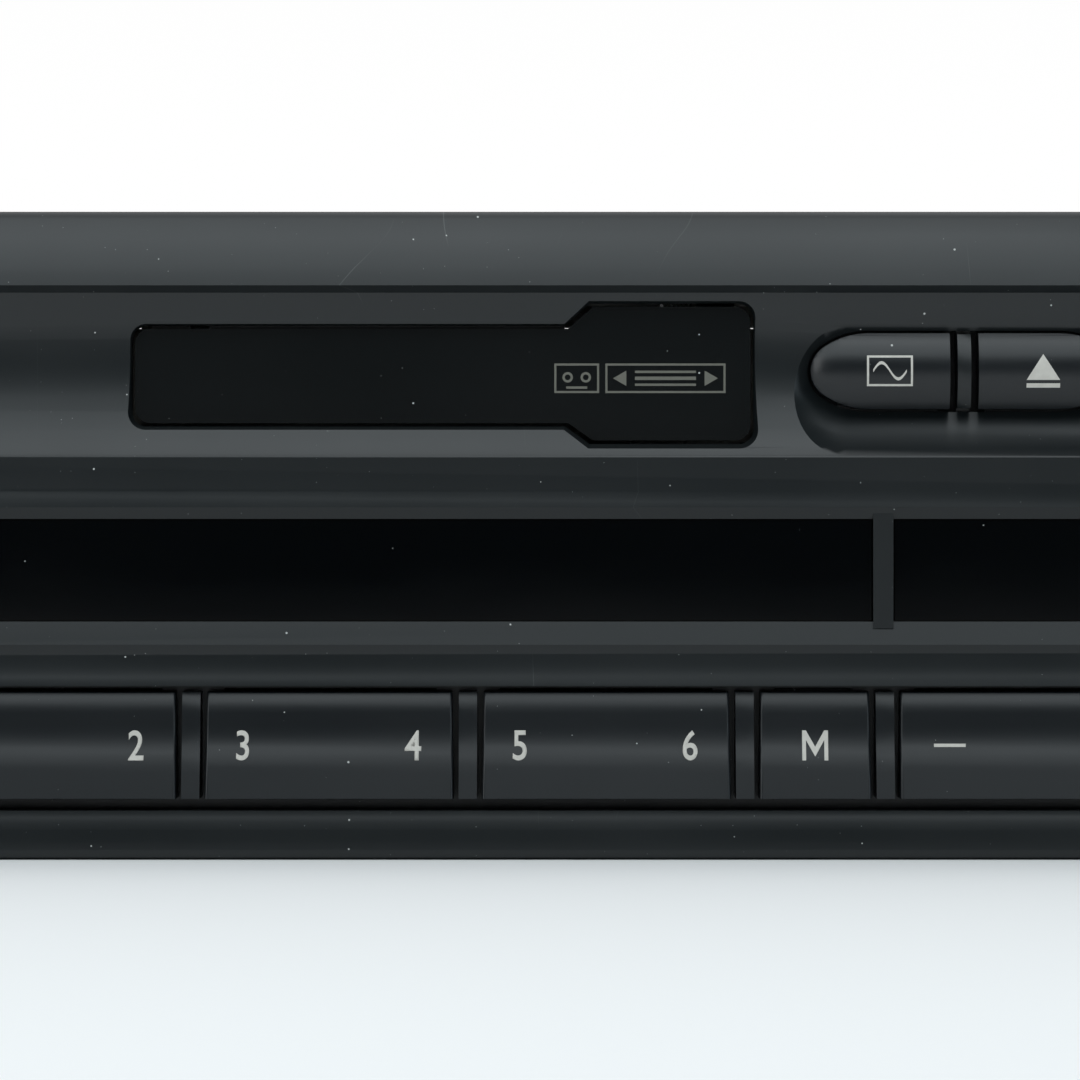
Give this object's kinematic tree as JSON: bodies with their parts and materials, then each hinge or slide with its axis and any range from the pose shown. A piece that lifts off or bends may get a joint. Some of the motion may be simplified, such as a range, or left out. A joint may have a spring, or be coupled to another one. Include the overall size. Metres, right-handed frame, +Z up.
{
  "type": "car radio",
  "caption": "Dashboard radio with a cassette slot and hinged flap, wide display window, rocker keys, push keys and rotary knobs.",
  "frame": {"origin": "bottom centre of the whole radio's box", "axes": "+X to the viewer's right along the panel, +Y from the front panel to the back, +Z up"},
  "size_m": [0.24, 0.19, 0.0676],
  "materials": {
    "panel_plastic": "satin charcoal moulded plastic",
    "key_plastic": "satin charcoal moulded plastic",
    "door_plastic": "gloss black moulded plastic",
    "smoked_window": "smoked clear acrylic, gloss",
    "display_glass": "liquid crystal display glass",
    "white_plastic": "white light guide",
    "black_plastic": "plain black moulded plastic",
    "knob_plastic": "satin charcoal moulded plastic",
    "board": "green solder mask",
    "zinc_steel": "zinc-plated sheet steel",
    "dark_steel": "steel, black oxide",
    "polished_steel": "ground steel",
    "sink_aluminium": "extruded aluminium, black anodised",
    "flywheel_brass": "turned brass",
    "rubber": "black rubber",
    "fuse_plastic": "brown fuse body",
    "capacitor_sleeve": "dark blue sleeve",
    "cable_film": "white flat cable"
  },
  "bodies": {
    "chassis": {"front_panel": "panel_plastic", "key_guide_frame": "key_plastic", "pod_guides": "black_plastic", "door_hinge_pin": "polished_steel", "door_spring": "polished_steel", "display_window": "smoked_window", "display_panel": "display_glass", "backlight_guide": "white_plastic", "volume_encoder": "dark_steel", "tune_encoder": "dark_steel", "front_circuit_board": "board", "tact_switches": "black_plastic", "mounting_frame": "zinc_steel", "chassis_tray": "zinc_steel", "top_cover": "zinc_steel", "panel_screws": "dark_steel", "cover_screws": "dark_steel", "heat_sink": "sink_aluminium", "rear_connector": "black_plastic", "aerial_socket": "polished_steel", "rear_stud": "polished_steel", "fuse": "fuse_plastic", "main_circuit_board": "board", "standoff_posts": "zinc_steel", "tuner_module": "zinc_steel", "capacitors": "capacitor_sleeve", "amplifier_chip": "black_plastic", "flat_cable": "cable_film", "deck_plate": "zinc_steel", "deck_motor": "polished_steel", "drive_belt": "rubber"},
    "preset_rocker_1_2": {"preset_rocker_1_2": "key_plastic"},
    "preset_rocker_3_4": {"preset_rocker_3_4": "key_plastic"},
    "preset_rocker_5_6": {"preset_rocker_5_6": "key_plastic"},
    "seek_rocker": {"seek_rocker": "key_plastic"},
    "memory_key": {"memory_key": "key_plastic"},
    "fm_key": {"fm_key": "key_plastic"},
    "am_key": {"am_key": "key_plastic"},
    "noise_filter_key": {"noise_filter_key": "key_plastic"},
    "eject_key": {"eject_key": "key_plastic"},
    "clock_key": {"clock_key": "key_plastic"},
    "menu_key": {"menu_key": "key_plastic"},
    "volume_plunger": {"volume_plunger": "white_plastic"},
    "volume_knob": {"volume_knob": "knob_plastic", "volume_shaft": "polished_steel"},
    "tune_knob": {"tune_knob": "knob_plastic", "tune_shaft": "polished_steel"},
    "cassette_door": {"cassette_door": "door_plastic"},
    "cassette_carriage": {"cassette_carriage": "zinc_steel"},
    "head_bracket": {"head_bracket": "zinc_steel", "tape_head": "polished_steel"},
    "flywheel_front": {"flywheel_front": "flywheel_brass"},
    "flywheel_rear": {"flywheel_rear": "flywheel_brass"},
    "motor_pulley": {"motor_pulley": "flywheel_brass"},
    "idler_wheel_front": {"idler_wheel_front": "black_plastic"},
    "reel_spindle_front": {"reel_spindle_front": "white_plastic"},
    "pinch_roller_front": {"pinch_roller_front": "rubber"},
    "idler_wheel_rear": {"idler_wheel_rear": "black_plastic"},
    "reel_spindle_rear": {"reel_spindle_rear": "white_plastic"},
    "pinch_roller_rear": {"pinch_roller_rear": "rubber"}
  },
  "joints": [
    {"name": "preset_rocker_1_2_rock", "type": "hinge", "parent": "chassis", "child": "preset_rocker_1_2", "pos_m": [-0.0507, -0.074, 0.01178], "axis": [0, 0, 1], "range_deg": [-2.2, 2.2], "stiffness_Nm_per_rad": 0.3},
    {"name": "preset_rocker_3_4_rock", "type": "hinge", "parent": "chassis", "child": "preset_rocker_3_4", "pos_m": [-0.0219, -0.074, 0.01178], "axis": [0, 0, 1], "range_deg": [-2.2, 2.2], "stiffness_Nm_per_rad": 0.3},
    {"name": "preset_rocker_5_6_rock", "type": "hinge", "parent": "chassis", "child": "preset_rocker_5_6", "pos_m": [0.0069, -0.074, 0.01178], "axis": [0, 0, 1], "range_deg": [-2.2, 2.2], "stiffness_Nm_per_rad": 0.3},
    {"name": "seek_rocker_rock", "type": "hinge", "parent": "chassis", "child": "seek_rocker", "pos_m": [0.0503, -0.074, 0.01178], "axis": [0, 0, 1], "range_deg": [-2.2, 2.2], "stiffness_Nm_per_rad": 0.3},
    {"name": "memory_key_press", "type": "slide", "parent": "chassis", "child": "memory_key", "axis": [0, 1, 0], "range_m": [0, 0.0008], "stiffness_N_per_m": 800},
    {"name": "fm_key_press", "type": "slide", "parent": "chassis", "child": "fm_key", "axis": [0, 1, 0], "range_m": [0, 0.0008], "stiffness_N_per_m": 800},
    {"name": "am_key_press", "type": "slide", "parent": "chassis", "child": "am_key", "axis": [0, 1, 0], "range_m": [0, 0.0008], "stiffness_N_per_m": 800},
    {"name": "noise_filter_key_press", "type": "slide", "parent": "chassis", "child": "noise_filter_key", "axis": [0, 1, 0], "range_m": [0, 0.0008], "stiffness_N_per_m": 800},
    {"name": "eject_key_press", "type": "slide", "parent": "chassis", "child": "eject_key", "axis": [0, 1, 0], "range_m": [0, 0.0008], "stiffness_N_per_m": 800},
    {"name": "clock_key_press", "type": "slide", "parent": "chassis", "child": "clock_key", "axis": [0, 1, 0], "range_m": [0, 0.0008], "stiffness_N_per_m": 800},
    {"name": "menu_key_press", "type": "slide", "parent": "chassis", "child": "menu_key", "axis": [0, 1, 0], "range_m": [0, 0.0008], "stiffness_N_per_m": 800},
    {"name": "volume_press", "type": "slide", "parent": "chassis", "child": "volume_plunger", "axis": [0, 1, 0], "range_m": [0, 0.001], "stiffness_N_per_m": 800},
    {"name": "volume_turn", "type": "hinge", "parent": "volume_plunger", "child": "volume_knob", "pos_m": [-0.0945, -0.075, 0.021], "axis": [0, -1, 0], "continuous": true},
    {"name": "tune_turn", "type": "hinge", "parent": "chassis", "child": "tune_knob", "pos_m": [0.0945, -0.075, 0.021], "axis": [0, -1, 0], "continuous": true},
    {"name": "door_swing", "type": "hinge", "parent": "chassis", "child": "cassette_door", "pos_m": [0, -0.0718, 0.059], "axis": [1, 0, 0], "range_deg": [0, 88], "stiffness_Nm_per_rad": 0.002, "springref_deg": -17.19, "deforming": ["door_spring"]},
    {"name": "carriage_lower", "type": "slide", "parent": "chassis", "child": "cassette_carriage", "axis": [0, 0, -1], "range_m": [0, 0.0095]},
    {"name": "head_engage", "type": "slide", "parent": "chassis", "child": "head_bracket", "axis": [-1, 0, 0], "range_m": [0, 0.005], "stiffness_N_per_m": 400},
    {"name": "flywheel_front_spin", "type": "hinge", "parent": "chassis", "child": "flywheel_front", "pos_m": [0.0165, -0.0256, 0.027], "axis": [0, 0, 1], "continuous": true},
    {"name": "flywheel_rear_spin", "type": "hinge", "parent": "chassis", "child": "flywheel_rear", "pos_m": [0.0165, 0.022, 0.027], "axis": [0, 0, 1], "continuous": true},
    {"name": "motor_spin", "type": "hinge", "parent": "chassis", "child": "motor_pulley", "pos_m": [0.041, 0.047, 0.027], "axis": [0, 0, 1], "continuous": true},
    {"name": "idler_front_spin", "type": "hinge", "parent": "chassis", "child": "idler_wheel_front", "pos_m": [0.0068, -0.0247, 0.0348], "axis": [0, 0, 1], "continuous": true},
    {"name": "reel_front_spin", "type": "hinge", "parent": "chassis", "child": "reel_spindle_front", "pos_m": [-0.01, -0.02305, 0.035], "axis": [0, 0, 1], "continuous": true},
    {"name": "roller_front_spin", "type": "hinge", "parent": "head_bracket", "child": "pinch_roller_front", "pos_m": [0.0269, -0.0273, 0.04], "axis": [0, 0, 1], "continuous": true},
    {"name": "idler_rear_spin", "type": "hinge", "parent": "chassis", "child": "idler_wheel_rear", "pos_m": [0.0068, 0.0211, 0.0348], "axis": [0, 0, 1], "continuous": true},
    {"name": "reel_rear_spin", "type": "hinge", "parent": "chassis", "child": "reel_spindle_rear", "pos_m": [-0.01, 0.01945, 0.035], "axis": [0, 0, 1], "continuous": true},
    {"name": "roller_rear_spin", "type": "hinge", "parent": "head_bracket", "child": "pinch_roller_rear", "pos_m": [0.0269, 0.0237, 0.04], "axis": [0, 0, 1], "continuous": true}
  ],
  "couplings": [
    {"joint": "flywheel_front_spin", "follows": "flywheel_rear_spin", "ratio": 1},
    {"joint": "motor_spin", "follows": "flywheel_rear_spin", "ratio": 4.25},
    {"joint": "idler_front_spin", "follows": "flywheel_rear_spin", "ratio": -0.4545},
    {"joint": "reel_front_spin", "follows": "flywheel_rear_spin", "ratio": 0.3},
    {"joint": "idler_rear_spin", "follows": "flywheel_rear_spin", "ratio": -0.4545},
    {"joint": "reel_rear_spin", "follows": "flywheel_rear_spin", "ratio": 0.3}
  ]
}
